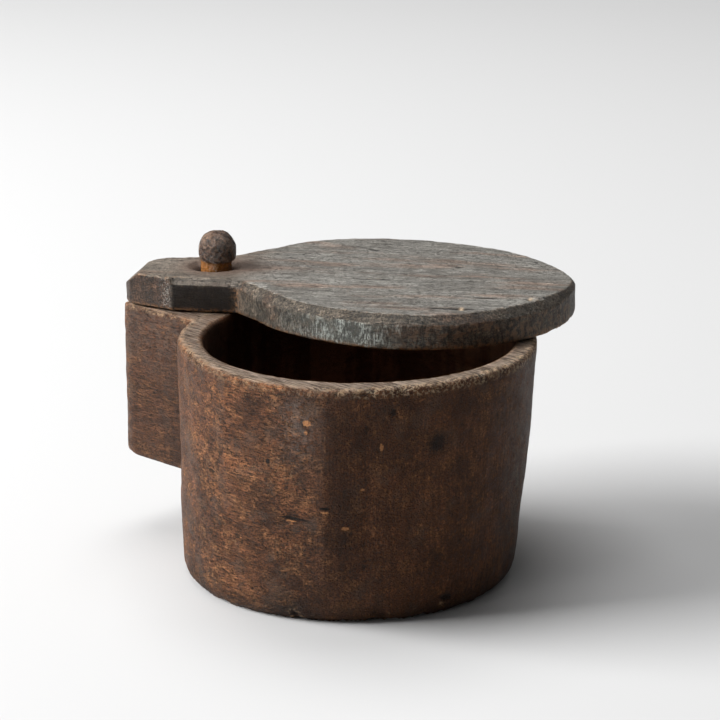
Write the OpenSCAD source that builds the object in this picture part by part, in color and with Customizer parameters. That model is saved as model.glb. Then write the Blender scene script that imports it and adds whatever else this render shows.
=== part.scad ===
// Swivel-lid wooden spice box: a carved round pot with a lug on one side, a one-piece lid with a
// tab, and a peg that pins the tab to the lug. Millimetres, +Z up, base on Z = 0, lug towards -X.

/* [Pot] */

// height of the pot from its base to the rim
pot_h = 93; // [80:1:110]
// radius of the pot at its rim
rim_r = 71.5; // [69:0.5:74]
// radius of the pot near its base
base_r = 66; // [63:0.5:68]
// thickness of the wall at the rim
wall = 11.5; // [8:0.5:13]
// thickness of the floor
floor_t = 12; // [8:1:18]

/* [Lug] */

// distance from the pot's centre to the peg, along the lug
peg_reach = 78.5; // [78:0.5:84]
// how far the lug runs past the peg
lug_past = 26.5; // [20:0.5:30]
// width of the lug across its two side faces
lug_w = 55; // [46:1:58]
// height of the lug, measured down from the rim
lug_h = 64.5; // [50:0.5:70]

/* [Lid] */

// radius of the lid's round part
lid_r = 66; // [64:0.5:67]
// distance from the peg to the centre of the lid's round part
lid_reach = 79; // [77:0.5:81]
// thickness of the lid
lid_t = 14; // [11:0.5:16]
// width of the sloping cut around the lid's top edge
lid_bevel = 3.5; // [2:0.5:4]
// how far the lid is swung open
open_turn = 34; // [25:1:45]

/* [Peg] */

// radius of the peg's shank
peg_r = 6.2; // [5:0.1:6.5]
// radius of the peg's rounded head
head_r = 7.8; // [7.2:0.1:8.5]
// height of the rounded head
head_h = 12.5; // [11:0.5:15]
// how deep the peg is driven into the lug
peg_depth = 42; // [30:1:48]

/* [Hidden] */

$fn = 96;

over = 1;           // how far a cutting shape runs past the face it cuts
rim_ease = 1.2;     // eased outer edge of the rim
foot_round = 4;     // rounding of the pot's bottom edge
hollow_draft = 2;   // how much narrower the hollow is at its floor
hollow_corner = 8;  // rounding where the hollow's wall meets its floor
lug_corner = 3;     // cut on the lug's upright end corners
lug_round = 4;      // rounding of the lug's bottom edge
lug_ease = 1;       // eased top edge of the lug's end
peg_y = 1.5;        // the peg stands this far to one side of the lug's middle
lid_gap = 0.4;      // clear gap between the rim and the lid
hole_gap = 0.08;    // running gap of the peg in the lid, on the radius
dish_r = 9.5;       // radius of the worn dish around the peg hole
dish_d = 1.6;       // depth of the worn dish
neck_show = 1.9;    // height of neck between the lid and the head

hollow_r = rim_r - wall;
lug_end = -peg_reach - lug_past;
lug_low = pot_h - lug_h;
lid_base = pot_h + lid_gap;
peg_base = pot_h - peg_depth;
head_base = lid_base + lid_t + neck_show;

// the tab's outline in the lid's own axes: the peg at the origin, the round part towards +X
tab_outline = [
    [30, 33], [12, 28], [4, 20], [-8, 14], [-21, 12], [-28, 7], [-32, -1],
    [-35.8, -9], [-32.8, -14], [-13.5, -22], [13, -22], [30, -33]
];

module pot_body() {
    rotate_extrude()
        polygon(concat(
            [[0, 0], [base_r - foot_round, 0]],
            [for (a = [-75 : 15 : 0])
                [base_r - foot_round + foot_round * cos(a), foot_round + foot_round * sin(a)]],
            [[rim_r, pot_h - rim_ease], [rim_r - rim_ease, pot_h], [0, pot_h]]
        ));
}

module pot_hollow() {
    corner_x = hollow_r - hollow_draft - hollow_corner;
    rotate_extrude()
        polygon(concat(
            [[0, floor_t]],
            [for (a = [-90 : 15 : 0])
                [corner_x + hollow_corner * cos(a), floor_t + hollow_corner + hollow_corner * sin(a)]],
            [[hollow_r, pot_h + over], [0, pot_h + over]]
        ));
}

// the lug from the side, X across and Z up, with its rounded bottom edge
module lug_side() {
    polygon(concat(
        [[0, lug_low]],
        [for (a = [-90 : -15 : -180])
            [lug_end + lug_round + lug_round * cos(a), lug_low + lug_round + lug_round * sin(a)]],
        [[lug_end, pot_h - lug_ease], [lug_end + lug_ease, pot_h], [0, pot_h]]
    ));
}

// the lug from above, with its two upright end corners cut
module lug_plan() {
    half = lug_w / 2;
    polygon([
        [0, -half], [lug_end + lug_corner, -half], [lug_end, -half + lug_corner],
        [lug_end, half - lug_corner], [lug_end + lug_corner, half], [0, half]
    ]);
}

module lug() {
    intersection() {
        rotate([90, 0, 0])
            linear_extrude(lug_w + 2 * over, center = true)
                lug_side();
        translate([0, 0, lug_low - over])
            linear_extrude(lug_h + 2 * over)
                lug_plan();
    }
}

module pot() {
    color("#5a3d2b")
        difference() {
            union() {
                pot_body();
                lug();
            }
            pot_hollow();
            translate([-peg_reach, peg_y, peg_base])
                cylinder(r = peg_r, h = peg_depth + over);
        }
}

// the lid's round part, with a sloping cut around its top edge
module lid_disc() {
    translate([lid_reach, 0, 0])
        rotate_extrude()
            polygon([
                [0, 0], [lid_r, 0], [lid_r, lid_t - lid_bevel],
                [lid_r - lid_bevel, lid_t], [0, lid_t]
            ]);
}

module lid_tab() {
    linear_extrude(lid_t)
        polygon(tab_outline);
}

module lid() {
    color("#6b5a4c")
        translate([-peg_reach, peg_y, lid_base])
            rotate([0, 0, open_turn])
                difference() {
                    union() {
                        lid_disc();
                        lid_tab();
                    }
                    translate([0, 0, -over])
                        cylinder(r = peg_r + hole_gap, h = lid_t + 2 * over);
                    translate([0, 0, lid_t - dish_d])
                        cylinder(r = dish_r, h = dish_d + over);
                }
}

module peg() {
    head_mid = head_base - peg_base + head_h / 2;
    color("#4a2f20")
        translate([-peg_reach, peg_y, peg_base])
            rotate_extrude()
                polygon(concat(
                    [[0, 0], [peg_r, 0], [peg_r, head_base - peg_base]],
                    [for (a = [-50 : 10 : 90])
                        [head_r * cos(a), head_mid + head_h / 2 * sin(a)]]
                ));
}

pot();
lid();
peg();
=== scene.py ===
"""An old carved spice box with a swivel lid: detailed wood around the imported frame.

Shapes are worked out in millimetres and turned into metres when a mesh is made.
"""
import math

import bpy
import numpy as np
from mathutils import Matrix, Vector


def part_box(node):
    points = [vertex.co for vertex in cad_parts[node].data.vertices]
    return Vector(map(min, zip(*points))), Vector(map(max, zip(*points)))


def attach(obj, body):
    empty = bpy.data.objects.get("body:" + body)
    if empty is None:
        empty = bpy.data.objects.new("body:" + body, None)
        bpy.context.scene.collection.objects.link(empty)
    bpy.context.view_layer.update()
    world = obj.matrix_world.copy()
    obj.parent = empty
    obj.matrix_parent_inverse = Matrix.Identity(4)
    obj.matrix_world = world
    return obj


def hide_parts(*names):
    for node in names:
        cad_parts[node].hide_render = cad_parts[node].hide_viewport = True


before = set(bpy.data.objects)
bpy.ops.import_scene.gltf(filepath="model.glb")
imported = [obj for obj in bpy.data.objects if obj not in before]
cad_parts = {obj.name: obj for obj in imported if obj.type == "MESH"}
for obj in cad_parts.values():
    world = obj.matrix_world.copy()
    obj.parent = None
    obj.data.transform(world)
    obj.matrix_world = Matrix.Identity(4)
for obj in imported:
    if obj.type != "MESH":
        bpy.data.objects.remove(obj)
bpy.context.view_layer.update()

MM = 0.001


def node_box(node):
    """A CAD node's lowest and highest corners, in millimetres."""
    return [np.array(corner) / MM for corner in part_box(node)]


POT_LOW, POT_HIGH = node_box("pot")
LID_LOW, LID_HIGH = node_box("lid")
PEG_LOW, PEG_HIGH = node_box("peg")

RIM_Z = POT_HIGH[2]
RIM_R = POT_HIGH[0]
LUG_END = POT_LOW[0]
PEG_XY = (PEG_LOW + PEG_HIGH)[:2] / 2
LID_T = LID_HIGH[2] - LID_LOW[2]

# sizes of the CAD part that its boxes don't give
LUG_HALF = 27.5
LUG_LOW = RIM_Z - 64.5
FLOOR_Z = 12.0
SHANK_R = 6.2
OPEN_TURN = math.radians(34)
# the carved hollow's radius at the rim, a little less than the CAD part's
HOLLOW_R = 59.6

# the lid's circle touches its box at +X and at +Y, which gives its place and its radius
LID_SPAN = LID_HIGH[:2] - PEG_XY
LID_REACH = (LID_SPAN[0] - LID_SPAN[1]) / (math.cos(OPEN_TURN) - math.sin(OPEN_TURN))
LID_R = LID_SPAN[0] - LID_REACH * math.cos(OPEN_TURN)

# the camera stands this far round from the front, -Y, towards +X, and this far up
AZIMUTH = math.radians(43)
ELEVATION = math.radians(18.3)

# how fine each piece's mesh is
POT_VOXEL = 1.15
LID_VOXEL = 0.66
PEG_VOXEL = 0.42

# the two drying cracks at the pot's front: direction from the centre in degrees, and height
LONG_CRACK = (-66.4, 42.0)
SHORT_CRACK = (-56.5, 47.4)


# ---------------------------------------------------------------- noise and carving

def lattice(cell, seed):
    """A repeatable random number from 0 to 1 for each lattice cell."""
    n = cell[:, 0] * 374761393 + cell[:, 1] * 668265263 + cell[:, 2] * 1274126177 + seed * 144665
    n &= 0xFFFFFFFF
    n = ((n ^ (n >> 13)) * 1103515245) & 0xFFFFFFFF
    return (n ^ (n >> 16)) / 0xFFFFFFFF


def noise(points, size, seed=0):
    """Smooth noise from -1 to 1, with features of the given size along X, Y and Z."""
    p = points / np.asarray(size, float)
    cell = np.floor(p).astype(np.int64)
    t = p - cell
    t = t * t * (3 - 2 * t)
    total = np.zeros(len(p))
    for corner in np.ndindex(2, 2, 2):
        corner = np.array(corner)
        weight = np.where(corner, t, 1 - t).prod(axis=1)
        total += weight * lattice(cell + corner, seed)
    return total * 2 - 1


def rough_noise(points, size, seed=0, octaves=3):
    """Noise with finer and weaker noise on top."""
    size = np.asarray(size, float)
    layers = [noise(points, size / 2 ** k, seed + k) / 2 ** k for k in range(octaves)]
    return sum(layers) / (2 - 2 ** (1 - octaves))


def scallops(points, size, seed=0):
    """Shallow tool cuts that meet in ridges: 0 at a cut's middle, up to about 1 on the ridges."""
    p = points / np.asarray(size, float)
    cell = np.floor(p).astype(np.int64)
    nearest = np.full(len(p), 9.0)
    for step in np.ndindex(3, 3, 3):
        there = cell + np.array(step) - 1
        jitter = np.stack([lattice(there, seed + k) for k in range(3)], axis=1)
        away = ((p - there - 0.15 - 0.7 * jitter) ** 2).sum(axis=1)
        nearest = np.minimum(nearest, away + 0.12 * lattice(there, seed + 3))
    return nearest


def fade(value, low, high):
    """0 below low, 1 above high, smooth between."""
    t = np.clip((value - low) / (high - low), 0, 1)
    return t * t * (3 - 2 * t)


def bump(value, centre, width):
    """A smooth bell: 1 at the centre, 0.37 a width away from it, almost 0 two widths away."""
    return np.exp(-((value - centre) / width) ** 2)


def turn_from(angle, degrees):
    """How far each angle is from a direction, in degrees, from -180 to 180."""
    return (np.degrees(angle) - degrees + 180) % 360 - 180


# ---------------------------------------------------------------- meshes

def loft(rings):
    """A closed surface through rings of points, bottom first, with a face on each end."""
    count = len(rings[0])
    faces = [tuple(reversed(range(count)))]
    for k in range(len(rings) - 1):
        low, high = k * count, (k + 1) * count
        for i in range(count):
            j = (i + 1) % count
            faces.append((low + i, low + j, high + j, high + i))
    faces.append(tuple(range((len(rings) - 1) * count, len(rings) * count)))
    return np.concatenate(rings), faces


def ring(outline, height):
    """An outline of X and Y points as a ring at one height, or at a height for each point."""
    return np.column_stack([outline, np.broadcast_to(height, len(outline))])


def lathe(profile, centre, count=48):
    """A closed turned shape from (radius, height) pairs, bottom first."""
    turn = np.linspace(0, 2 * math.pi, count, endpoint=False)
    circle = np.column_stack([np.cos(turn), np.sin(turn)])
    return loft([ring(circle * radius + centre, height) for radius, height in profile])


def inset(outline, distance):
    """The outline, which runs anticlockwise, moved inwards by a distance for each point."""
    along = np.roll(outline, -1, axis=0) - np.roll(outline, 1, axis=0)
    along /= np.linalg.norm(along, axis=1, keepdims=True)
    inward = np.column_stack([-along[:, 1], along[:, 0]])
    return outline + inward * np.reshape(distance, (-1, 1))


def finely(outline, step):
    """The outline with extra points, so that none are further apart than about a step."""
    points = []
    for a, b in zip(outline, np.roll(outline, -1, axis=0)):
        parts = max(1, round(np.linalg.norm(b - a) / step))
        points += [a + (b - a) * k / parts for k in range(parts)]
    return np.array(points)


def in_scene(name, data):
    """A new object in the scene, around a mesh, a light or a camera."""
    made = bpy.data.objects.new(name, data)
    bpy.context.scene.collection.objects.link(made)
    return made


def new_object(name, shape):
    """A new mesh object, from points in millimetres and faces."""
    vertices, faces = shape
    mesh = bpy.data.meshes.new(name)
    mesh.from_pydata((vertices * MM).tolist(), [], faces)
    mesh.update()
    return in_scene(name, mesh)


def join(*shapes):
    """Several closed shapes as one list of points and faces."""
    vertices, faces, start = [], [], 0
    for points, sides in shapes:
        vertices.append(points)
        faces += [tuple(start + i for i in side) for side in sides]
        start += len(points)
    return np.concatenate(vertices), faces


def fused(name, shape, voxel, cutter=None):
    """One even mesh around a shape, with a cutter's shape taken out of it first."""
    rough = new_object(name + "_rough", shape)
    helpers = [rough]
    if cutter is not None:
        helpers.append(new_object(name + "_cutter", cutter))
        cut = rough.modifiers.new("cut", "BOOLEAN")
        cut.operation, cut.solver, cut.object = "DIFFERENCE", "EXACT", helpers[1]
    remesh = rough.modifiers.new("remesh", "REMESH")
    remesh.mode, remesh.voxel_size = "VOXEL", voxel * MM
    evaluated = rough.evaluated_get(bpy.context.evaluated_depsgraph_get())
    mesh = bpy.data.meshes.new_from_object(evaluated)
    mesh.name = name
    for helper in helpers:
        bpy.data.objects.remove(helper)
    return in_scene(name, mesh)


def read(mesh):
    """A mesh's points and normals, in millimetres."""
    points = np.empty(len(mesh.vertices) * 3, np.float32)
    mesh.vertices.foreach_get("co", points)
    normals = np.empty(len(mesh.vertices) * 3, np.float32)
    mesh.vertex_normals.foreach_get("vector", normals)
    return points.reshape(-1, 3).astype(float) / MM, normals.reshape(-1, 3).astype(float)


def write(mesh, points):
    """Moves a mesh's points to new places, in millimetres."""
    mesh.vertices.foreach_set("co", (points * MM).astype(np.float32).ravel())
    mesh.update()


def blurred(mesh, values, rounds):
    """Values at the points of a mesh, averaged with their neighbours several times."""
    ends = np.empty(len(mesh.edges) * 2, np.int64)
    mesh.edges.foreach_get("vertices", ends)
    a, b = ends[0::2], ends[1::2]
    near = np.bincount(ends, minlength=len(values))[:, None]
    for _ in range(rounds):
        total = np.column_stack([
            np.bincount(a, v[b], len(values)) + np.bincount(b, v[a], len(values))
            for v in values.T])
        values = 0.4 * values + 0.6 * total / near
    return values


def paint(mesh, name, values):
    """Stores one number for each point, for the material to read."""
    mesh.attributes.new(name, "FLOAT", "POINT").data.foreach_set("value", values.astype(np.float32))


def standing_out(mesh, reach):
    """How far each point stands out from its surroundings, as the points of an edge do."""
    points, normals = read(mesh)
    return ((points - blurred(mesh, points, reach)) * normals).sum(axis=1)


def finished(piece, body, node, material):
    """Hands a piece to the frame: its body, the CAD node it stands for and its wood."""
    piece.data.materials.clear()
    piece.data.materials.append(material)
    piece.data.shade_smooth()
    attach(piece, body)
    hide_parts(node)


# ---------------------------------------------------------------- the pot

def pot_radius(angle, up):
    """Radius of the carved wall; up runs from 0 at the base to 1 at the rim."""
    from_right = angle - AZIMUTH
    rim = (RIM_R - 1.7 + 0.2 * np.cos(from_right)
           + 2.6 * bump(turn_from(angle, -57), 0, 30)
           - 2.4 * bump(turn_from(angle, -114), 0, 24)
           + 0.8 * bump(turn_from(angle, 105), 0, 35)
           - 0.3 * bump(turn_from(angle, 38), 0, 30))
    base = (RIM_R - 7.2 - 3.6 * np.cos(from_right)
            - 1.2 * bump(turn_from(angle, -62), 0, 30)
            + 0.9 * bump(turn_from(angle, 130), 0, 30))
    return base + (rim - base) * np.clip(up, 0, 1) ** 0.7


def pot_shape():
    """The wall, rim, hollow and floor as one closed surface, without tool marks."""
    angle = np.linspace(-math.pi, math.pi, 180, endpoint=False)
    way = np.column_stack([np.cos(angle), np.sin(angle)])

    def outer(height, inwards=0.0):
        radius = pot_radius(angle, height / RIM_Z) - inwards
        return ring(way * radius[:, None], height)

    def inner(height, inwards=0.0):
        taper = 1.8 * (1 - height / RIM_Z)
        radius = HOLLOW_R - taper - inwards + 1.6 * bump(turn_from(angle, -62), 0, 45)
        return ring(way * radius[:, None] + [0.8, 0.4], height)

    foot = [(4.6, 0.0), (2.4, 0.5), (0.9, 1.9), (0.0, 4.6)]
    wall = np.linspace(10, RIM_Z - 5, 12)
    lip = [(0.0, RIM_Z - 2.0), (0.35, RIM_Z - 0.9), (1.3, RIM_Z)]
    corner = [(0.0, FLOOR_Z + 9), (1.0, FLOOR_Z + 5), (3.4, FLOOR_Z + 1.8), (7.5, FLOOR_Z)]
    # a small ring in the middle closes the base, and another closes the floor
    small = way * 8
    rings = [ring(small, 0.0)]
    rings += [outer(height, inwards) for inwards, height in foot]
    rings += [outer(height) for height in wall]
    rings += [outer(height, inwards) for inwards, height in lip]
    rings += [inner(RIM_Z, -0.8), inner(RIM_Z - 1.0, 0.0)]
    rings += [inner(height) for height in np.linspace(RIM_Z - 6, FLOOR_Z + 14, 10)]
    rings += [inner(height, inwards) for inwards, height in corner]
    rings += [ring(small, FLOOR_Z)]
    return loft(rings)


def lug_shape():
    """The block that the peg stands in, rooted in the wall."""
    root = np.radians(np.linspace(155, 205, 9))
    arc = np.column_stack([np.cos(root), np.sin(root)]) * (HOLLOW_R + 4)
    plan = np.array([
        [-70, -LUG_HALF], [arc[-1][0], -LUG_HALF + 1.5], *arc[::-1][1:-1],
        [arc[0][0], LUG_HALF - 2.5], [-70, LUG_HALF - 1],
        [LUG_END + 3.5, LUG_HALF - 1.5], [LUG_END + 0.2, LUG_HALF - 5],
        [LUG_END, -LUG_HALF + 3.4], [LUG_END + 0.9, -LUG_HALF + 1.6], [LUG_END + 6.5, -LUG_HALF]])
    plan = finely(plan, 2.0)
    # only the faces away from the pot are rounded at the top and at the bottom
    free = fade(-plan[:, 0], 62, 72)
    steps = [(3.0, LUG_LOW), (1.0, LUG_LOW + 0.7), (0.2, LUG_LOW + 2.0), (0.0, LUG_LOW + 4)]
    steps += [(0.0, height) for height in np.linspace(LUG_LOW + 12, RIM_Z - 4, 6)]
    steps += [(0.25, RIM_Z - 1), (1.0, RIM_Z)]
    return loft([ring(inset(plan, inwards * free), height) for inwards, height in steps])


def pot_zones(points, normals):
    """How far each point belongs to the wall, the inside, the rim's top, the lug and its sides."""
    x, y, z = points.T
    radius, level = np.hypot(x, y), np.abs(normals[:, 2])
    outward = (normals[:, 0] * x + normals[:, 1] * y) / np.maximum(radius, 1)
    on_lug = fade(-x, 62, 70) * (np.abs(y) < LUG_HALF + 2) * (z > LUG_LOW - 2)
    inside = (radius < HOLLOW_R + 3.5) * fade(-outward, 0.2, 0.6) * (z > FLOOR_Z - 2) * (1 - on_lug)
    wall = fade(outward, 0.2, 0.6) * (1 - level) * (1 - on_lug)
    top = (normals[:, 2] > 0.7) * (z > RIM_Z - 3)
    return wall, inside, top, on_lug, on_lug * (1 - level)


def pot_cuts(points, wall, inside, top, lug_sides):
    """How deep the tool cuts and the weathered fibres are."""
    z = points[:, 2]
    angle = np.arctan2(points[:, 1], points[:, 0])
    unrolled = np.column_stack([angle * RIM_R, z, np.zeros(len(z))])
    deep = np.zeros(len(z))
    # long flat cuts down the outside, gouge cuts down the inside, and cuts on the lug and the rim
    deep += wall * 0.62 * (0.55 - scallops(unrolled, (17, 44, 30), 3))
    deep += wall * 0.16 * (0.5 - scallops(unrolled, (5.5, 13, 9), 9))
    deep += inside * 1.9 * (0.45 - scallops(unrolled, (12, 90, 30), 21)) * fade(RIM_Z - z, 1, 14)
    deep += lug_sides * 0.4 * (0.5 - scallops(points, (13, 13, 21), 31))
    deep += top * 0.18 * (0.5 - scallops(points, (17, 9, 9), 41))
    deep -= top * 0.16 * rough_noise(points, (16, 1.7, 1.7), 43, 2)
    # broad lumps and the weathered fibres, which run along X
    deep -= wall * 0.45 * noise(points, 26, 51)
    deep -= 0.10 * rough_noise(points, 5, 61)
    deep -= 0.13 * rough_noise(points, (24, 2.6, 2.6), 71, 2)
    # an upright ridge where two wide flats meet at the front, which dies out near the base
    ridge = np.clip(1 - np.abs(turn_from(angle, -56.5 + 0.02 * (z - 50))) / 12, 0, 1)
    deep -= wall * 2.5 * ridge * fade(z, 8, 40) * (1 - 0.6 * fade(z, 78, 92))
    # fine upright scraper lines on the end grain
    end_grain = wall * fade(np.abs(np.cos(angle)), 0.45, 0.8)
    deep += end_grain * 0.10 * noise(unrolled, (2.4, 60, 9), 81)
    return deep


def pot_chips(points, on_lug, edges):
    """How deep the chips along the rim's outer edge, the base's edge and the lug's edges are."""
    x, y, z = points.T
    radius = np.hypot(x, y)
    edge_r = pot_radius(np.arctan2(y, x), z / RIM_Z)
    at_rim = bump(z, RIM_Z, 2.4) * bump(radius, edge_r - 0.6, 2.6) * (1 - on_lug)
    at_foot = bump(z, 2.0, 3.5) * (radius > edge_r - 5)
    at_lug_edge = on_lug * fade(edges, 0.15, 0.5)
    deep = 1.2 * at_rim * fade(rough_noise(points, 6, 91), 0.3, 0.6)
    deep += 0.5 * at_rim * fade(noise(points, 2.4, 92), 0.3, 0.8)
    deep += 1.3 * at_foot * fade(rough_noise(points, 8, 95), 0.15, 0.6)
    deep += 0.6 * at_lug_edge * fade(rough_noise(points, 6, 97), 0.2, 0.7)
    return deep


def pot_marks(points, wall):
    """How deep the single marks on the wall are."""
    z = points[:, 2]
    angle = np.arctan2(points[:, 1], points[:, 0])
    deep = np.zeros(len(z))
    # direction from the centre in degrees, height, half width, half height, depth
    marks = [
        (*LONG_CRACK, 5.0, 0.8, 0.5), (*SHORT_CRACK, 1.8, 1.0, 0.6),
        (-16, 7, 3.0, 1.3, 0.9), (-100, 52, 2.6, 0.9, 0.6), (-88, 30, 2.0, 0.9, 0.5),
        (-36, 84, 1.4, 2.2, 0.5), (35, 47, 1.3, 5.5, 0.7), (88, 60, 5.0, 0.8, 0.9),
        (120, 34, 6.0, 0.8, 0.8), (64, 22, 1.5, 1.6, 0.9), (-142, 22, 4.0, 0.9, 0.7)]
    for direction, height, half_width, half_height, depth in marks:
        across = turn_from(angle, direction) * math.pi / 180 * RIM_R
        deep += wall * depth * bump(across, 0, half_width) * bump(z, height, half_height)
    return deep


def carve_pot(mesh):
    """Cuts the tool marks, fibres, chips and cracks into the pot's surface."""
    points, normals = read(mesh)
    wall, inside, top, on_lug, lug_sides = pot_zones(points, normals)
    near_middle = np.hypot(points[:, 0], points[:, 1]) < 56
    deep = pot_cuts(points, wall, inside, top, lug_sides)
    deep += pot_chips(points, on_lug, standing_out(mesh, 6))
    deep += pot_marks(points, wall)
    points -= normals * np.clip(deep, -2.6, 2.6)[:, None]
    points = np.clip(points, POT_LOW, POT_HIGH)
    # within its edge the base is slightly hollow in places
    hollow = 0.35 * fade(noise(points, 20, 99), 0, 1) * near_middle
    points[:, 2] = np.where(points[:, 2] < 0.6, hollow, points[:, 2])
    write(mesh, points)


def paint_pot(mesh):
    """Marks the places where the pot's wood looks different."""
    paint(mesh, "edge", standing_out(mesh, 4))
    points, normals = read(mesh)
    x, y, z = points.T
    angle, radius = np.arctan2(y, x), np.hypot(x, y)
    # black soot in one spot and around the peg, and painted shade on the inside wall by the lug
    across = turn_from(angle, -22) * math.pi / 180 * RIM_R
    spots = np.clip(1.5 * bump(np.hypot(across, z - 70) + 1.2 * noise(points, 3, 5), 0, 4.0), 0, 1)
    around_peg = bump(np.hypot(x - PEG_XY[0], y - PEG_XY[1]), 7, 2.5) * (z > RIM_Z - 2)
    inside = (radius < HOLLOW_R + 2.2) * (z > FLOOR_Z - 2) * (z < RIM_Z - 0.8)
    inside = blurred(mesh, inside.astype(float)[:, None], 3)[:, 0]
    paint(mesh, "inside", inside)
    sooty = np.maximum(spots, around_peg) * (radius > HOLLOW_R + 4)
    by_lug = 0.8 * inside * bump(turn_from(angle, 180), 0, 50) * fade(z, RIM_Z - 45, RIM_Z - 12)
    paint(mesh, "soot_and_shade", np.maximum(sooty, by_lug))
    # from the ridge round to the lug the wall is warmer, and is painted lighter there as the lit side of
    # the ridge
    warm_and_lit = fade(-turn_from(angle, -57), 0, 9) * fade(turn_from(angle, -57), -133, -83)
    paint(mesh, "warm_and_lit", warm_and_lit)
    paint(mesh, "foot", 1 - fade(z + 4 * noise(points, 9, 7), 0, 13))
    on_lug = fade(-x, 64, 70) * (z > LUG_LOW - 2) * (z < RIM_Z - 0.5)
    # the bevel strip at the lug's end is kept out of the lug's darker tone and made lighter below, as
    # painted light on a face turned to the key light
    strip = on_lug * (1 - fade(x, LUG_END + 3.5, LUG_END + 5)) * (1 - fade(y, -LUG_HALF + 3, 4))
    paint(mesh, "lug", on_lug * (1 - strip))
    # a grey tone: painted sheen in a band by the ridge and on the wall opposite the lug, painted light on
    # the lug's end corner, and dust on the lug's top
    band = bump(turn_from(angle, -64), 0, 6) * fade(z, 56, 76) * (1 - fade(z, 86, 91))
    lug_top = 0.55 * on_lug * fade(z, RIM_Z - 34, RIM_Z - 8)
    far_side = 0.75 * bump(turn_from(angle, 19), 0, 15) * fade(z, 14, 62)
    paint(mesh, "dust_and_sheen", np.max([band, 0.8 * strip, lug_top, far_side], axis=0))
    top = fade(normals[:, 2], 0.72, 0.95) * (z > RIM_Z - 3)
    paint(mesh, "top", top * (0.78 + 0.22 * fade(x, -45, 5)))
    edge_band = bump(radius, pot_radius(angle, 1.0) - 2.0, 2.3) * (z > RIM_Z - 3)
    paint(mesh, "chipped", edge_band * (0.3 + 0.7 * fade(turn_from(angle, -47), -20, 20)))
    # painted shade: a dark upright band on the side of the front ridge turned from the light, kept off
    # the rim's top
    paint(mesh, "grime_and_shade", bump(turn_from(angle, -51.5), 0, 4.5) * fade(z, 5, 25) * (1 - top))


def make_pot(material):
    """The pot with its lug."""
    pot = fused("pot", join(pot_shape(), lug_shape()), POT_VOXEL)
    carve_pot(pot.data)
    paint_pot(pot.data)
    finished(pot, "pot_body", "pot", material)


# ---------------------------------------------------------------- the lid

def turned(points, angle):
    """Points turned about the upright axis."""
    x, y, z = points.T
    c, s = math.cos(angle), math.sin(angle)
    return np.column_stack([x * c - y * s, x * s + y * c, z])


def to_lid(points):
    """Points in the lid's own axes: the peg at the origin, +X towards the round part's centre."""
    return turned(points - [*PEG_XY, LID_LOW[2]], -OPEN_TURN)


def from_lid(points):
    """Points in the lid's own axes, back in the object's."""
    return turned(points, OPEN_TURN) + [*PEG_XY, LID_LOW[2]]


def lid_outline():
    """The lid's edge, anticlockwise: the hand-cut round part, then the tab."""
    angle = np.radians(np.arange(-146, 151, 2.0))
    radius = (LID_R - 0.8
              - 2.4 * bump(turn_from(angle, -116), 0, 24)
              + 1.0 * bump(turn_from(angle, -35), 0, 34)
              - 1.6 * bump(turn_from(angle, 84), 0, 30)
              + 4.8 * bump(turn_from(angle, 147), 0, 24))
    disc = np.column_stack([LID_REACH + radius * np.cos(angle), radius * np.sin(angle)])
    tab = [[13, 28.5], [7.5, 21.5], [1.5, 16], [-5, 14], [-13, 13], [-22, 11.5], [-27.5, 7], [-31, -0.5],
           [-35.3, -9], [-32.6, -14.2], [-13.5, -21.9], [12.6, -21.9]]
    return finely(np.concatenate([disc, tab]), 1.6)


def lid_top(outline):
    """Height of the lid's warped upper face: full at the back by the tab, thin at the back's far end."""
    x, y = outline[:, 0], outline[:, 1]
    back = fade(y, -24, 34)
    return LID_T - 0.5 + back * (0.5 - 3.6 * np.clip((x - 30) / 100, 0, 1))


def lid_shape():
    """The lid before its hole and its cut corner, in its own axes."""
    outline = lid_outline()
    x, y = outline.T
    on_disc = fade(x, 8, 20)
    front = (y < -21.5) * (x < 14) * (x > -14.5)
    # the sloping cut is wide on the round part's near side, narrower along the tab's front and
    # round the back, and slight on the rest of the tab
    around = np.degrees(np.arctan2(y, x - LID_REACH))
    wide = 3.6 - 2.0 * fade(around, -32, 2)
    bevel = wide * on_disc + (1 - on_disc) * (0.7 + 2.2 * front)
    top = lid_top(outline)
    steps = [(0.9, 0.0), (0.2, 0.5), (0.0, 1.4)]
    rings = [ring(inset(outline, inwards), height) for inwards, height in steps]
    rings.append(ring(outline, (top - bevel * 1.05) * 0.55))
    rings.append(ring(outline, top - bevel * 1.05))
    rings.append(ring(inset(outline, bevel), top))
    # the upper face closes in over a few smaller rings, so that it keeps its slope
    middle = np.array([LID_REACH, 0.0])
    last = inset(outline, bevel)
    for part in (0.8, 0.5, 0.2):
        smaller = middle + (last - middle) * part
        rings.append(ring(smaller, lid_top(smaller)))
    return loft(rings)


def tab_end_cut():
    """A slanting block that takes the upper corner off the tab's end."""
    start, slope = -28.0, 0.85
    near, far = start + 7, start - 14
    above, half_width = LID_T + 6, 40
    side = np.array([[near, above], [far, above], [far, LID_T + (far - start) * slope],
                     [near, LID_T + (near - start) * slope]])
    points, faces = loft([ring(side, -half_width), ring(side, half_width)])
    # swapping two axes turns the faces inside out, so they are turned back
    return points[:, [0, 2, 1]], [face[::-1] for face in faces]


def hole_shape():
    """The peg's hole, worn wider towards the tab's end and dished at its mouth."""
    profile = [(7.0, -2.0), (7.0, LID_T - 5.0), (7.4, LID_T - 3.0), (8.0, LID_T - 1.9),
               (8.8, LID_T - 1.1), (9.8, LID_T - 0.5), (11, LID_T + 2)]
    points, faces = lathe(profile, (0, 0), 40)
    up = fade(points[:, 2], LID_T - 5, LID_T)
    points[:, 0] -= up * fade(-points[:, 0], 0, 8) * 2.0
    return points, faces


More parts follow.
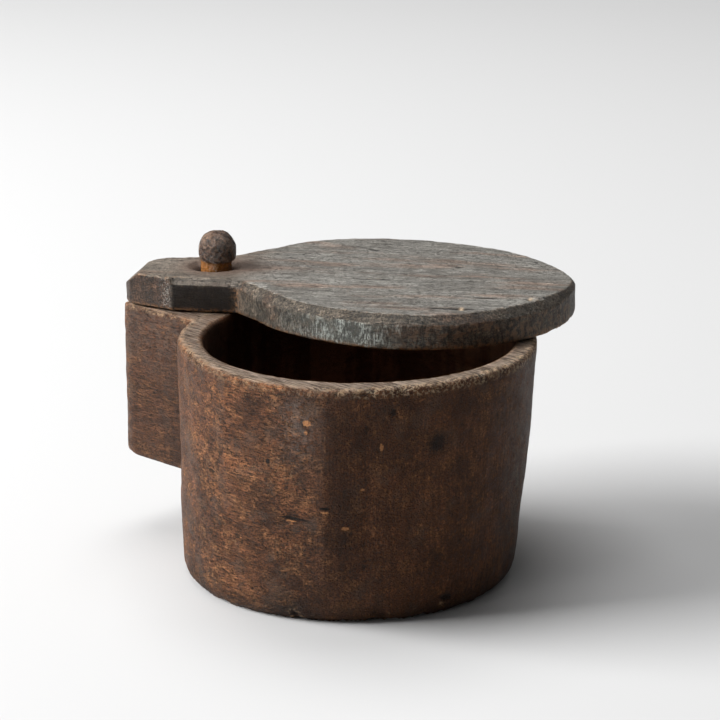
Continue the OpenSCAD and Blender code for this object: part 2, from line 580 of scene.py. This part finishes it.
def lid_cracks(own):
    """1 in the short drying cracks along the grain of the lid's upper face, 0 elsewhere."""
    x, y = own[:, 0], own[:, 1]
    waver = 0.05 * (x - 105) + 0.3 * noise(own, (7, 60, 60), 37)
    cracks = np.zeros(len(x))
    for start, end, middle, half in ((94, 109, -49.6, 1.0), (109.5, 116, -33.3, 0.7), (60, 71, -8, 0.7)):
        along = fade(x, start - 3, start + 3) * (1 - fade(x, end - 3, end + 3))
        cracks = np.maximum(cracks, along * bump(y, middle + waver, half))
    return cracks


def carve_lid(mesh):
    """Cuts plane strokes, fibres, tool marks, cracks and chips into the lid."""
    points, normals = read(mesh)
    own = to_lid(points)
    x, y, z = own.T
    level = np.abs(normals[:, 2])
    top = fade(normals[:, 2], 0.75, 0.95)
    side = 1 - fade(level, 0.2, 0.5)
    on_disc = fade(x, 8, 22)

    deep = top * 0.42 * (0.5 - scallops(own, (52, 13, 30), 3))
    deep += (normals[:, 2] < -0.7) * 0.5 * (0.5 - scallops(own, (40, 14, 30), 5))
    deep -= top * 0.30 * noise(own, 30, 7)
    deep -= 0.09 * rough_noise(own, 4.5, 11)
    deep -= 0.16 * rough_noise(own, (26, 2.3, 2.3), 13, 2)
    around = np.column_stack([np.arctan2(y, x - LID_REACH) * LID_R, z, np.zeros(len(z))])
    deep += side * on_disc * 0.30 * (0.5 - scallops(around, (3.6, 15, 9), 17))
    deep += side * on_disc * 0.35 * (0.5 - scallops(around, (14, 30, 9), 19))
    deep += side * (1 - on_disc) * 0.22 * (0.5 - scallops(own, (8, 8, 6), 23))

    corner = fade(standing_out(mesh, 6), 0.06, 0.3)
    deep += 0.8 * corner * fade(rough_noise(own, 6, 29), 0.28, 0.6)
    deep += 0.3 * corner * fade(noise(own, 2.2, 31), 0.2, 0.7)

    # the cracks, a chip beside the longest, a chip near the edge and two further back
    deep += top * 0.8 * lid_cracks(own)
    for chip_x, chip_y, half, depth in ((105, -51.5, 1.0, 0.4), (129.7, -33.5, 1.0, 0.4),
                                        (58, 41, 1.8, 0.7), (96, 20, 1.3, 0.5)):
        deep += top * depth * bump(x, chip_x, half * 1.8) * bump(y, chip_y, half)

    points -= normals * np.clip(deep, -0.7, 2.2)[:, None]
    points = np.clip(points, LID_LOW, LID_HIGH)
    write(mesh, points)


def paint_lid(mesh):
    """Marks the places where the lid's wood looks different."""
    paint(mesh, "edge", standing_out(mesh, 5))
    points, normals = read(mesh)
    own = to_lid(points)
    x, y, z = own.T
    from_peg = np.hypot(x + 1, y)
    paint(mesh, "rub", np.clip(bump(from_peg, 9, 6) + 0.7 * bump(np.hypot(x - 14, y), 0, 12), 0, 1))
    tab_front = (1 - fade(x, 10, 16)) * fade(normals[:, 2], 0.45, 0.6)
    paint(mesh, "upper", np.maximum(fade(normals[:, 2], 0.8, 0.93), tab_front))
    # painted shade on the tab's long front side, and a painted sheen on the round side next to it
    around = np.degrees(np.arctan2(y, x - LID_REACH))
    on_side = 1 - fade(np.abs(normals[:, 2]), 0.3, 0.6)
    paint(mesh, "dark", on_side * (y < -19) * fade(x, -15, -12.5) * (1 - fade(x, 9, 15)))
    end = on_side * (1 - fade(x, -15, -13.5))
    paint(mesh, "end", end)
    paint(mesh, "corner", end * bump(x, -15.5, 2.8))
    paint(mesh, "handled", 1 - fade(x, 4, 26))
    paint(mesh, "painted_sheen", on_side * bump(around, -105, 20) * fade(x, 14, 24))
    paint(mesh, "low", bump(z, 0.4, 0.9) * (np.abs(normals[:, 2]) < 0.9))
    paint(mesh, "seam", on_side * bump(np.hypot(x - 13, y + 21), 0, 2.0))
    paint(mesh, "soot_and_shade", bump(from_peg, 6.5, 1.6) * (z > 2))
    chips = (bump(np.hypot(x - 105, (y + 49.5) / 2.2), 0, 0.65)
             + bump(np.hypot(x - 129.7, (y + 32) / 2), 0, 0.6))
    paint(mesh, "chip", np.clip(1.7 * chips, 0, 1) * (normals[:, 2] > 0.3))
    paint(mesh, "crack", np.clip(1.8 * lid_cracks(own), 0, 1) * (z > 8))
    paint(mesh, "rust", on_side * fade(around, -100, -75) * (1 - fade(around, -20, 0)))


def make_lid(material):
    """The lid with its tab."""
    body, faces = lid_shape()
    cutter, cutter_faces = join(hole_shape(), tab_end_cut())
    lid = fused("lid", (from_lid(body), faces), LID_VOXEL, (from_lid(cutter), cutter_faces))
    carve_lid(lid.data)
    paint_lid(lid.data)
    finished(lid, "lid_body", "lid", material)


# ---------------------------------------------------------------- the peg

def peg_profile(head, neck):
    """Radius and height pairs up the peg's shank, neck and head."""
    profile = [(4.5, PEG_LOW[2]), (SHANK_R, PEG_LOW[2] + 1.5), (SHANK_R, neck - 3),
               (6.3, neck), (6.1, neck + 1.8), (6.3, neck + 2.4)]
    # the head is a ball, taller above its widest line and fuller below it
    middle, rise, drop, half = head - 7.6, 7.5, 6.6, 7.4
    for step in np.radians(np.arange(-62, 88, 10)):
        high, power = (rise, 0.86) if step > 0 else (drop, 0.3)
        profile.append((half * math.cos(step) ** power, middle + high * math.sin(step)))
    return profile


def make_peg(material):
    """The peg with its whittled head."""
    head, neck = PEG_HIGH[2], LID_HIGH[2]
    peg = fused("peg", lathe(peg_profile(head, neck), PEG_XY), PEG_VOXEL)
    points, normals = read(peg.data)
    local = points - [*PEG_XY, 0]
    z = local[:, 2]
    on_head = fade(z, neck + 1.2, neck + 3)
    deep = on_head * (0.55 * (0.5 - scallops(local, (4.5, 4.5, 4.0), 3)) - 0.35 * noise(local, 6, 5)
                      - 0.12 * rough_noise(local, 1.8, 7))
    deep += (1 - on_head) * (z > neck - 4) * -0.16 * rough_noise(local, (1.6, 1.6, 5), 9)
    # the head sits a little to one side and its underside slants
    points[:, :2] += on_head[:, None] * [0.4, 0.35]
    slant = on_head * (1 - fade(z, neck + 3, neck + 7))
    points -= normals * np.clip(deep, -0.3, 0.9)[:, None]
    points[:, 2] -= slant * 0.07 * (local[:, 0] - local[:, 1])
    points = np.clip(points, PEG_LOW, PEG_HIGH)
    write(peg.data, points)
    paint(peg.data, "edge", standing_out(peg.data, 8))
    paint(peg.data, "raw", 1 - fade(z, neck + 1.8, neck + 3.2))
    finished(peg, "pot_body", "peg", material)


# ---------------------------------------------------------------- materials

# the tone of what has gathered in hollows and cracks
GRIME = (0.004, 0.003, 0.002)


class Graph:
    """A material's or the world's node graph; each method adds a node and returns its output."""

    def __init__(self, owner):
        self.owner = owner
        owner.use_nodes = True
        self.tree = owner.node_tree
        self.tree.nodes.clear()

    def add(self, kind, inputs=None, **settings):
        """A new node of a kind, with what goes into it and its settings."""
        node = self.tree.nodes.new(kind)
        for key, value in settings.items():
            setattr(node, key, value)
        for key, value in (inputs or {}).items():
            self.feed(node.inputs[key], value)
        return node

    def feed(self, socket, value):
        """Gives a socket another node's output or a fixed value."""
        if isinstance(value, bpy.types.NodeSocket):
            self.tree.links.new(value, socket)
        else:
            socket.default_value = value

    def place(self, turn):
        """The point on the piece, in millimetres, with the grain along X."""
        where = self.add("ShaderNodeTexCoord").outputs["Object"]
        inputs = {"Vector": where, "Rotation": (0, 0, turn), "Scale": (1 / MM,) * 3}
        return self.add("ShaderNodeMapping", inputs).outputs["Vector"]

    def stretched(self, where, scale):
        """The point with its axes scaled: noise read there is longer along an axis with a small scale."""
        return self.add("ShaderNodeMapping", {"Vector": where, "Scale": scale}).outputs["Vector"]

    def noise(self, where, size, detail=4.0, rough=0.55, warp=0.0):
        """Noise with features of about a size in millimetres."""
        inputs = {"Vector": where, "Scale": 1 / size, "Detail": detail,
                  "Roughness": rough, "Distortion": warp}
        return self.add("ShaderNodeTexNoise", inputs).outputs["Fac"]

    def painted(self, name):
        """The number that paint stored under a name."""
        return self.add("ShaderNodeAttribute", attribute_name=name).outputs["Fac"]

    def math(self, operation, a, b=0.0, c=0.0):
        node = self.add("ShaderNodeMath", operation=operation)
        for socket, value in zip(node.inputs, (a, b, c)):
            self.feed(socket, value)
        return node.outputs[0]

    def product(self, a, b):
        return self.math("MULTIPLY", a, b)

    def fade(self, value, low, high, start=0.0, end=1.0):
        """The start number below low, the end number above high, smooth between."""
        inputs = {"Value": value, "From Min": low, "From Max": high, "To Min": start, "To Max": end}
        return self.add("ShaderNodeMapRange", inputs, interpolation_type="SMOOTHSTEP").outputs["Result"]

    def mix(self, amount, a, b, blend="MIX"):
        """Colour a turned towards colour b by an amount."""
        # the node's sockets for colours are inputs 6 and 7 and output 2
        a, b = ((*tone, 1) if isinstance(tone, tuple) else tone for tone in (a, b))
        inputs = {0: amount, 6: a, 7: b}
        return self.add("ShaderNodeMix", inputs, data_type="RGBA", blend_type=blend).outputs[2]

    def over(self, color, mask, amount, tone):
        """A colour with a tone laid over it, by an amount, where the mask is 1."""
        return self.mix(self.product(mask, amount), color, tone)

    def tinted(self, color, tint):
        """A colour multiplied by another."""
        return self.mix(1.0, color, tint, "MULTIPLY")

    def grey(self, value):
        """One number as a colour."""
        node = self.add("ShaderNodeCombineColor")
        for socket in node.inputs:
            self.feed(socket, value)
        return node.outputs[0]

    def spot(self, where, direction, height, half_width, half_height, ragged=1.0):
        """1 inside a ragged spot on the pot's wall, at a direction in degrees and a height."""
        turn = math.radians(direction)
        through_wall = 12
        inputs = {"Vector": where, "Rotation": (0, 0, turn),
                  "Location": (RIM_R * math.cos(turn), RIM_R * math.sin(turn), height),
                  "Scale": (through_wall, half_width, half_height)}
        placed = self.add("ShaderNodeMapping", inputs, vector_type="TEXTURE").outputs["Vector"]
        away = self.add("ShaderNodeVectorMath", {0: placed}, operation="LENGTH")
        shaky = self.math("MULTIPLY_ADD", self.noise(where, 0.9, 3, 0.8), 2 * ragged, -ragged)
        return self.fade(self.math("ADD", away.outputs["Value"], shaky), 1.15, 0.75)

    def bump(self, height, depth, below=None):
        """Shading relief of a depth in millimetres, on top of another relief."""
        inputs = {"Distance": depth * MM, "Height": height}
        if below is not None:
            inputs["Normal"] = below
        return self.add("ShaderNodeBump", inputs).outputs["Normal"]

    def finish(self, color, rough, sheen, relief=None):
        """The material, with its colour, its roughness, how strongly it reflects, and its relief."""
        inputs = {"Base Color": color, "Roughness": rough, "Specular IOR Level": sheen}
        if relief is not None:
            inputs["Normal"] = relief
        shader = self.add("ShaderNodeBsdfPrincipled", inputs)
        self.add("ShaderNodeOutputMaterial", {"Surface": shader.outputs[0]})
        return self.owner


def old_wood(name, turn, dark, mid, light, rubbed, contrast=1.0, depth=1.0):
    """What the three woods share: patches, fibres, pores and rubbed flecks, with their relief.

    Returns the graph, the point on the piece, the colour, the relief and the blotches.
    """
    g = Graph(bpy.data.materials.new(name))
    where = g.place(turn)
    patches = g.noise(where, 20, 5, 0.62, 0.7)
    blotches = g.noise(where, 6.0, 5, 0.65, 0.5)
    fibres = g.noise(g.stretched(where, (0.09, 1, 1)), 1.0, 4, 0.65, 0.3)
    threads = g.noise(g.stretched(where, (0.1, 1, 1)), 0.42, 3, 0.65)
    pores = g.noise(g.stretched(where, (0.26, 1, 1)), 0.5, 2, 0.5)
    pepper = g.noise(where, 0.6, 4, 0.75)

    color = g.mix(g.fade(patches, 0.4, 0.6), dark, mid)
    color = g.mix(g.fade(blotches, 0.46, 0.72, 0, 0.85), color, light)
    # each finer layer darkens and lightens what is below it
    for layer, low, high, least, most in ((fibres, 0.3, 0.7, 0.45, 1.6),
                                          (threads, 0.32, 0.68, 0.5, 1.55),
                                          (pepper, 0.3, 0.7, 0.35, 1.8)):
        color = g.mix(contrast, color, g.tinted(color, g.grey(g.fade(layer, low, high, least, most))))
    hollow = g.fade(pores, 0.43, 0.35)
    color = g.over(color, hollow, 0.85, tuple(0.1 * c for c in dark))
    # small rubbed flecks, in drifts
    fleck = g.noise(g.stretched(where, (0.6, 1, 1)), 0.7, 4, 0.75)
    drift = g.fade(g.noise(where, 19, 4, 0.65), 0.52, 0.62)
    flecks = g.product(g.fade(fleck, 0.57, 0.66), drift)
    color = g.over(color, flecks, 0.8, rubbed)

    relief = g.bump(g.fade(fibres, 0.25, 0.7), 0.5 * depth)
    relief = g.bump(threads, 0.36 * depth, relief)
    relief = g.bump(hollow, -0.7 * depth, relief)
    relief = g.bump(pepper, 0.95 * depth, relief)
    return g, where, color, relief, blotches


def worn_edges(g, where, color, chipped, amount):
    """Edges that stick out are rubbed a little lighter and chipped here and there; hollows are grimy."""
    edge = g.painted("edge")
    out = g.fade(edge, 0.05, 0.26)
    color = g.mix(out, color, g.tinted(color, (1.3, 1.22, 1.15)))
    chips = g.product(g.fade(g.noise(where, 2.2, 5, 0.85, 0.6), 0.51, 0.57),
                      g.fade(g.noise(where, 11, 2, 0.5), 0.4, 0.6))
    chips = g.product(chips, g.fade(edge, 0.09, 0.2))
    color = g.over(color, chips, amount, chipped)
    grime_and_shade = g.fade(edge, -0.02, -0.1, 0, 0.75)
    return g.mix(grime_and_shade, color, GRIME)


def pot_carving(g, where, color):
    """The carved wall: redder and grainy on the side by the lug, and painted lighter there as the lit
    side of the ridge, with scraped lines elsewhere.
    """
    # painted light: the side by the lug is made lighter as the lit side of the ridge, and pale grains
    # show where the grime has worn through
    warm_and_lit = g.product(g.painted("warm_and_lit"), g.fade(g.noise(where, 9, 4, 0.6), 0.3, 0.7, 0.5, 1.0))
    color = g.tinted(color, g.mix(warm_and_lit, (1, 1, 1), (1.3, 1.3, 1.3)))
    grains = g.noise(g.stretched(where, (1, 1, 0.5)), 0.8, 4, 0.8)
    grains = g.product(g.fade(grains, 0.55, 0.66), g.fade(g.noise(where, 15, 3, 0.6), 0.48, 0.6))
    color = g.mix(g.product(grains, g.product(warm_and_lit, 0.75)), color, (0.52, 0.31, 0.15))
    # away from the lug the scraper left fine upright lines
    scraped = g.noise(g.stretched(where, (1, 1, 0.05)), 0.8, 2, 0.5)
    lines = g.tinted(color, g.grey(g.fade(scraped, 0.35, 0.65, 0.55, 1.5)))
    return g.mix(g.fade(g.painted("warm_and_lit"), 0.0, 0.6, 0.6, 0.0), color, lines)


def pot_dirt_shade_and_sheen(g, where, color):
    """Greasy and grey patches, the darker foot and lug, painted shade beside the ridge, a grey dusting
    with painted sheen, and open pits in the wood.
    """
    greasy = g.fade(g.noise(where, 24, 4, 0.6, 0.5), 0.5, 0.62)
    color = g.over(color, greasy, 0.45, (0.05, 0.019, 0.009))
    grey = g.fade(g.noise(where, 11, 4, 0.6), 0.53, 0.64)
    color = g.over(color, grey, 0.35, (0.12, 0.088, 0.066))
    color = g.mix(g.painted("foot"), color, g.tinted(color, (0.42, 0.45, 0.45)))
    # painted shade: darker down the side of the front ridge turned from the light
    color = g.mix(g.painted("grime_and_shade"), color, g.tinted(color, (0.62, 0.62, 0.66)))
    color = g.over(color, g.painted("lug"), 0.5, (0.055, 0.03, 0.021))
    color = g.mix(g.fade(g.painted("warm_and_lit"), 0.0, 0.5, 0.3, 0.0), color, (0.1, 0.043, 0.021))
    # a grey tone: dust on the lug's top, and painted sheen and painted light elsewhere
    dust_and_sheen_mask = g.product(g.painted("dust_and_sheen"), g.fade(g.noise(where, 3, 5, 0.75), 0.4, 0.58))
    color = g.over(color, dust_and_sheen_mask, 0.6, (0.2, 0.155, 0.13))
    # open pits: a few wide ones and many fine ones, longer along the grain
    for size, high, low, amount in ((1.5, 0.30, 0.25, 0.85), (0.62, 0.40, 0.33, 0.7)):
        pits = g.fade(g.noise(g.stretched(where, (0.5, 1, 1)), size, 2, 0.55), high, low)
        color = g.over(color, pits, amount, (0.006, 0.003, 0.002))
    return color


def pot_rim(g, where, color, blotches):
    """The rim's top, weathered to grey; returns the colour and the open fibres for the relief."""
    top = g.painted("top")
    fibre = g.noise(g.stretched(where, (0.07, 1, 1)), 0.8, 4, 0.7, 0.2)
    weathered = g.mix(g.fade(fibre, 0.39, 0.58), (0.05, 0.033, 0.023), (0.66, 0.52, 0.41))
    weathered = g.mix(g.fade(blotches, 0.35, 0.65, 0, 0.5), weathered, (0.13, 0.08, 0.05))
    return g.over(color, top, 0.85, weathered), g.product(fibre, top)


def rim_chips(g, where, color):
    """Towards the front right the rim's edge is ragged, with pale chips between dark gaps."""
    ragged = g.noise(where, 1.3, 4, 0.75)
    for low, high, amount, tone in ((0.47, 0.40, 0.6, (0.035, 0.02, 0.013)),
                                    (0.51, 0.56, 0.85, (0.78, 0.58, 0.37))):
        chips = g.product(g.painted("chipped"), g.fade(ragged, low, high))
        color = g.over(color, chips, amount, tone)
    return color


def pot_inside(g, where, color):
    """The inside is cleaner, with one tone for each cut of the gouge."""
    gouged = g.noise(g.stretched(where, (1, 1, 0.04)), 11, 2, 0.6)
    gouged = g.math("MULTIPLY_ADD", g.noise(where, 5, 5, 0.7), 0.3, g.product(gouged, 0.7))
    clean = g.mix(g.fade(gouged, 0.43, 0.57), (0.2, 0.105, 0.062), (0.42, 0.24, 0.145))
    return g.over(color, g.painted("inside"), 0.88, clean)


def pot_spots(g, where, color):
    """Single marks at the front: rubbed spots, a worm hole and the two drying cracks."""
    # direction from the centre in degrees, height, half width and half height
    for spot in ((-61.2, 80, 1.7, 1.2), (-61.6, 76.4, 0.7, 0.7), (-39.6, 70.6, 0.75, 1.5),
                 (-50.4, 39.5, 1.5, 0.7), (-45.3, 54.5, 1.0, 0.5), (-67.5, 40.8, 2.4, 0.28),
                 (-56.3, 45.9, 1.6, 0.4)):
        color = g.over(color, g.spot(where, *spot), 0.85, (0.62, 0.28, 0.11))
    # the dark marks have a fifth number, how ragged they are
    for spot in ((-74.6, 63, 0.95, 1.1, 0.2), (*LONG_CRACK, 6.6, 0.34, 0.2),
                 (*SHORT_CRACK, 2.0, 0.42, 0.25)):
        color = g.over(color, g.spot(where, *spot), 0.95, GRIME)
    return color


def pot_wood():
    """Dark oiled wood, with a grey rim and a clean inside."""
    dark, mid, light = (0.07, 0.0265, 0.0105), (0.148, 0.057, 0.0235), (0.275, 0.127, 0.055)
    g, where, color, relief, blotches = old_wood(
        "pot_wood", 0.0, dark, mid, light, (0.52, 0.25, 0.10), 0.85, 0.9)
    color = pot_carving(g, where, color)
    color = pot_dirt_shade_and_sheen(g, where, color)
    color, open_fibres = pot_rim(g, where, color, blotches)
    color = worn_edges(g, where, color, (0.55, 0.36, 0.21), 0.85)
    color = rim_chips(g, where, color)
    color = pot_inside(g, where, color)
    color = pot_spots(g, where, color)
    # soot, and painted shade on the inside wall by the lug
    color = g.over(color, g.painted("soot_and_shade"), 0.85, (0.006, 0.005, 0.005))
    rough = g.fade(blotches, 0.3, 0.75, 0.4, 0.62)
    return g.finish(color, rough, 0.2, g.bump(open_fibres, 0.6, relief))


def lid_side(g, where, color, blotches):
    """The lid's side: darker and browner than its upper face, with tool marks and rust, a painted sheen
    with glints by the tab, and painted shade on the tab's front.
    """
    side = g.fade(g.painted("upper"), 0.0, 1.0, 1.0, 0.0)
    brown = g.mix(g.fade(blotches, 0.4, 0.62), (0.35, 0.31, 0.265), (0.5, 0.42, 0.345))
    color = g.mix(side, color, g.tinted(color, brown))
    # upright tool marks all round the side, with a painted sheen and painted glints on them next to the
    # tab
    upright = g.noise(g.stretched(where, (1, 1, 0.25)), 0.7, 4, 0.75, 0.4)
    tooled = g.tinted(color, g.grey(g.fade(upright, 0.36, 0.64, 0.32, 1.8)))
    color = g.over(color, side, 0.8, tooled)
    glints = g.product(g.fade(upright, 0.45, 0.62), g.fade(g.noise(where, 5, 4, 0.65), 0.38, 0.58))
    painted_sheen = g.product(g.painted("painted_sheen"), glints)
    color = g.over(color, g.painted("painted_sheen"), 0.55, (0.15, 0.163, 0.145))
    color = g.mix(painted_sheen, color, (0.68, 0.73, 0.67))
    rust = g.product(g.painted("rust"), g.fade(g.noise(where, 2.6, 5, 0.8), 0.49, 0.57))
    color = g.over(color, rust, 0.55, (0.34, 0.20, 0.12))
    # painted shade on the tab's long front side
    return g.over(color, g.painted("dark"), 0.9, (0.012, 0.007, 0.004))


def lid_tab(g, where, color):
    """The tab: browner than the round part, its cut end most of all, with pale grains at one corner."""
    for place, tint in (("handled", (0.86, 0.76, 0.68)), ("end", (0.82, 0.64, 0.58))):
        color = g.mix(g.painted(place), color, g.tinted(color, tint))
    grains = g.product(g.painted("corner"), g.fade(g.noise(where, 0.7, 3, 0.7), 0.5, 0.58))
    color = g.over(color, grains, 0.7, (0.45, 0.41, 0.36))
    rub = g.product(g.painted("rub"), g.fade(g.noise(where, 8, 4, 0.6), 0.2, 0.5, 0.3, 1.0))
    return g.over(color, rub, 0.55, (0.22, 0.13, 0.09))


def lid_wear(g, where, color):
    """Worn edges, raw wood along the lower edge, and the cracks, chips and soot."""
    color = worn_edges(g, where, color, (0.42, 0.25, 0.14), 0.7)
    raw = g.fade(g.noise(where, 1.6, 4, 0.75), 0.46, 0.56)
    for place, amount in (("low", 0.75), ("seam", 0.8)):
        bare = g.product(g.painted(place), raw)
        color = g.over(color, bare, amount, (0.42, 0.2, 0.085))
    color = g.over(color, g.painted("crack"), 0.95, (0.012, 0.008, 0.006))
    color = g.over(color, g.painted("chip"), 0.9, (0.75, 0.56, 0.38))
    return g.over(color, g.painted("soot_and_shade"), 0.85, (0.004, 0.003, 0.003))


def lid_wood():
    """Grey weathered wood."""
    dark, mid, light = (0.19, 0.177, 0.154), (0.263, 0.25, 0.223), (0.325, 0.31, 0.28)
    g, where, color, relief, blotches = old_wood(
        "lid_wood", -OPEN_TURN, dark, mid, light, (0.30, 0.22, 0.16), 0.52, 0.6)
    # long weathered streaks, with a ruddy tone here and there
    streaks = g.noise(g.stretched(where, (0.03, 1, 1)), 2.2, 4, 0.65, 0.3)
    color = g.tinted(color, g.grey(g.fade(streaks, 0.34, 0.66, 0.78, 1.14)))
    ruddy = g.fade(g.noise(g.stretched(where, (0.2, 1, 1)), 9, 4, 0.6), 0.5, 0.68, 0, 0.6)
    color = g.mix(ruddy, color, g.tinted(color, (1.15, 0.78, 0.62)))
    color = lid_side(g, where, color, blotches)
    color = lid_tab(g, where, color)
    color = lid_wear(g, where, color)
    rough = g.fade(blotches, 0.3, 0.75, 0.42, 0.6)
    rough = g.math("MULTIPLY_ADD", g.painted("dark"), 0.3, rough)
    return g.finish(color, rough, 0.35, relief)


def peg_wood():
    """Mottled brown wood, polished by hands, and raw on the neck."""
    dark, mid, light = (0.07, 0.032, 0.018), (0.18, 0.098, 0.06), (0.40, 0.25, 0.16)
    g, where, color, relief, blotches = old_wood("peg_wood", 0.0, dark, mid, light, (0.3, 0.19, 0.12))
    mottle = g.noise(where, 1.6, 4, 0.7)
    color = g.mix(g.fade(mottle, 0.49, 0.4, 0, 0.85), color, (0.022, 0.012, 0.008))
    color = g.mix(g.fade(mottle, 0.53, 0.62, 0, 0.7), color, (0.36, 0.25, 0.185))
    color = worn_edges(g, where, color, (0.3, 0.2, 0.13), 0.3)
    raw = g.product(g.painted("raw"), g.fade(mottle, 0.25, 0.5, 0.5, 1.0))
    color = g.mix(raw, color, (0.52, 0.19, 0.025))
    rough = g.fade(blotches, 0.3, 0.75, 0.22, 0.38)
    return g.finish(color, rough, 0.6, g.bump(mottle, 1.3, relief))


# ---------------------------------------------------------------- floor, light and camera

DISTANCE = 1.0
SENSOR_WIDTH = 36
LENS = 128.5
POT_MIDDLE = Vector((0, 0, 45)) * MM
# the camera looks at a point above the pot's middle and a little beyond it
AIM = Vector((-6.9, 9.4, 80.0)) * MM
FLOOR_TONE = (0.64, 0.64, 0.64, 1)
WORLD_TONE = (0.05, 0.05, 0.05, 1)
# how bright the world is behind the camera, behind the object and where the camera sees it
DIM, BRIGHT, SEEN = 0.85, 3.3, 0.9


def make_camera():
    """The photograph's camera."""
    data = bpy.data.cameras.new("camera")
    data.sensor_width = SENSOR_WIDTH
    data.lens = LENS
    camera = in_scene("camera", data)
    back = Vector((math.sin(AZIMUTH) * math.cos(ELEVATION),
                   -math.cos(AZIMUTH) * math.cos(ELEVATION), math.sin(ELEVATION)))
    camera.location = POT_MIDDLE + back * DISTANCE
    camera.rotation_euler = (AIM - camera.location).to_track_quat("-Z", "Y").to_euler()
    bpy.context.scene.camera = camera


def softbox(name, around, up, distance, size, power):
    """A square light; around is its direction seen from above, 0 being the camera's right."""
    data = bpy.data.lights.new(name, "AREA")
    data.size, data.energy = size, power
    light = in_scene(name, data)
    turn, lift = AZIMUTH + math.radians(around), math.radians(up)
    way = Vector((math.cos(turn) * math.cos(lift), math.sin(turn) * math.cos(lift), math.sin(lift)))
    light.location = POT_MIDDLE + way * distance
    light.rotation_euler = way.to_track_quat("Z", "Y").to_euler()


def make_stage():
    """The floor, the world and the lights."""
    half = 12.0
    corners = np.array([[-half, -half, 0], [half, -half, 0], [half, half, 0], [-half, half, 0]])
    floor = new_object("floor", (corners / MM, [(0, 1, 2, 3)]))
    floor_paint = Graph(bpy.data.materials.new("floor_paint"))
    floor.data.materials.append(floor_paint.finish(FLOOR_TONE, 0.9, 0.1))

    make_world()
    # name, direction and height in degrees, distance and size in metres, power in watts
    for light in (("key", 180, 33, 2.6, 1.6, 120),
                  ("overhead", 100, 68, 3.2, 2.0, 54),
                  ("window", 222, 8, 1.1, 0.2, 0.9)):
        softbox(*light)


def make_world():
    """A pale studio: bright behind the object, dim behind the camera, one even tone where it is seen."""
    g = Graph(bpy.data.worlds.new("studio"))
    way = g.add("ShaderNodeTexCoord").outputs["Generated"]
    bright_way = (-math.sin(AZIMUTH), math.cos(AZIMUTH), 0.6)
    facing = g.add("ShaderNodeVectorMath", {0: way, 1: bright_way}, operation="DOT_PRODUCT")
    glow = g.fade(facing.outputs["Value"], -0.5, 0.9, DIM, BRIGHT)
    seen = g.add("ShaderNodeLightPath").outputs["Is Camera Ray"]
    strength = g.add("ShaderNodeMix", {0: seen, 2: glow, 3: SEEN}).outputs[0]
    background = g.add("ShaderNodeBackground", {"Color": WORLD_TONE, "Strength": strength})
    g.add("ShaderNodeOutputWorld", {"Surface": background.outputs[0]})
    bpy.context.scene.world = g.owner


def make_view():
    """Plain colours, without a film look."""
    settings = bpy.context.scene.view_settings
    settings.view_transform = "Standard"
    settings.look = "None"


make_stage()
make_camera()
make_view()
make_pot(pot_wood())
make_lid(lid_wood())
make_peg(peg_wood())
